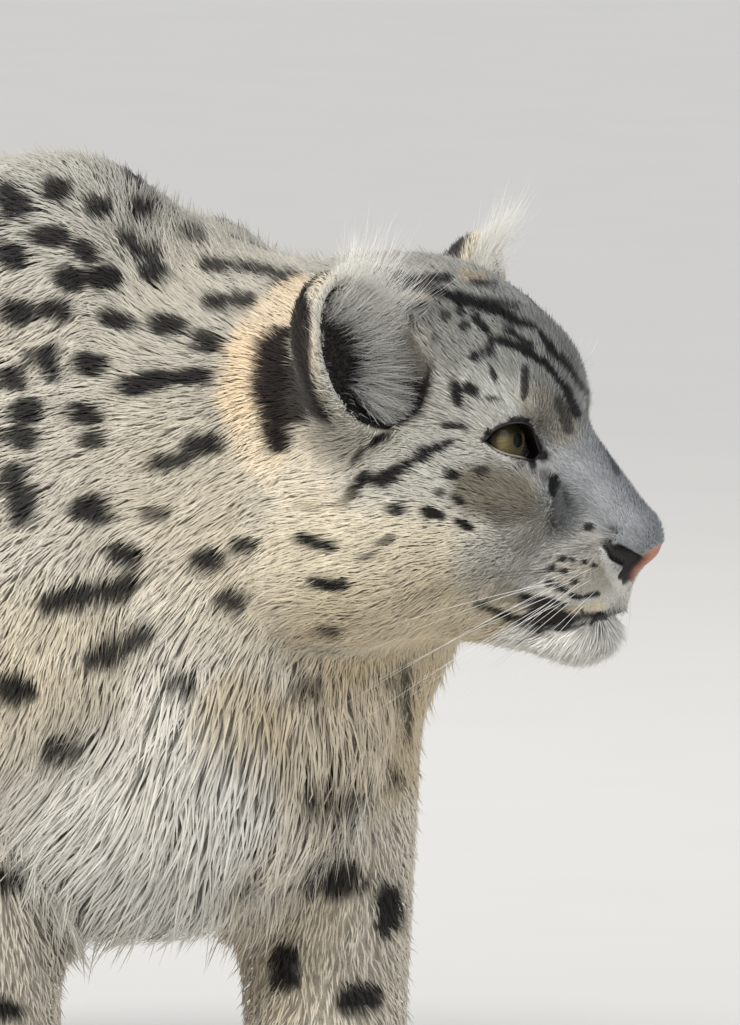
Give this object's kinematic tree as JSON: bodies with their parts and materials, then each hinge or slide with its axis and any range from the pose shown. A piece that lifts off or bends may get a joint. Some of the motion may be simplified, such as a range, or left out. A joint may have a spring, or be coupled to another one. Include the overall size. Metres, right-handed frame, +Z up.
{
  "type": "snow leopard",
  "caption": "Life-size standing snow leopard with lowered head turned a little aside, long thick tail, thick spotted coat; a still model resting on its paws.",
  "frame": {"origin": "centre of the box around the animal, at the floor under its paws", "axes": "+X forward along the trunk towards the head, +Y towards the animal's left side, +Z up"},
  "size_m": [1.6224, 0.3766, 0.638],
  "materials": {
    "coat": "dense fur, pale grey to cream with dark spots and rosettes",
    "eye": "wet, clear over an olive iris"
  },
  "bodies": {
    "root": {"ear_left": "coat", "ear_right": "coat", "eye_left": "eye", "eye_right": "eye", "foreleg_left": "coat", "foreleg_right": "coat", "forepaw_left": "coat", "forepaw_right": "coat", "head": "coat", "hindpaw_left": "coat", "hindpaw_right": "coat", "neck": "coat", "shank_left": "coat", "shank_right": "coat", "tail_1": "coat", "tail_2": "coat", "tail_3": "coat", "tail_4": "coat", "thigh_left": "coat", "thigh_right": "coat", "torso": "coat"}
  },
  "joints": []
}
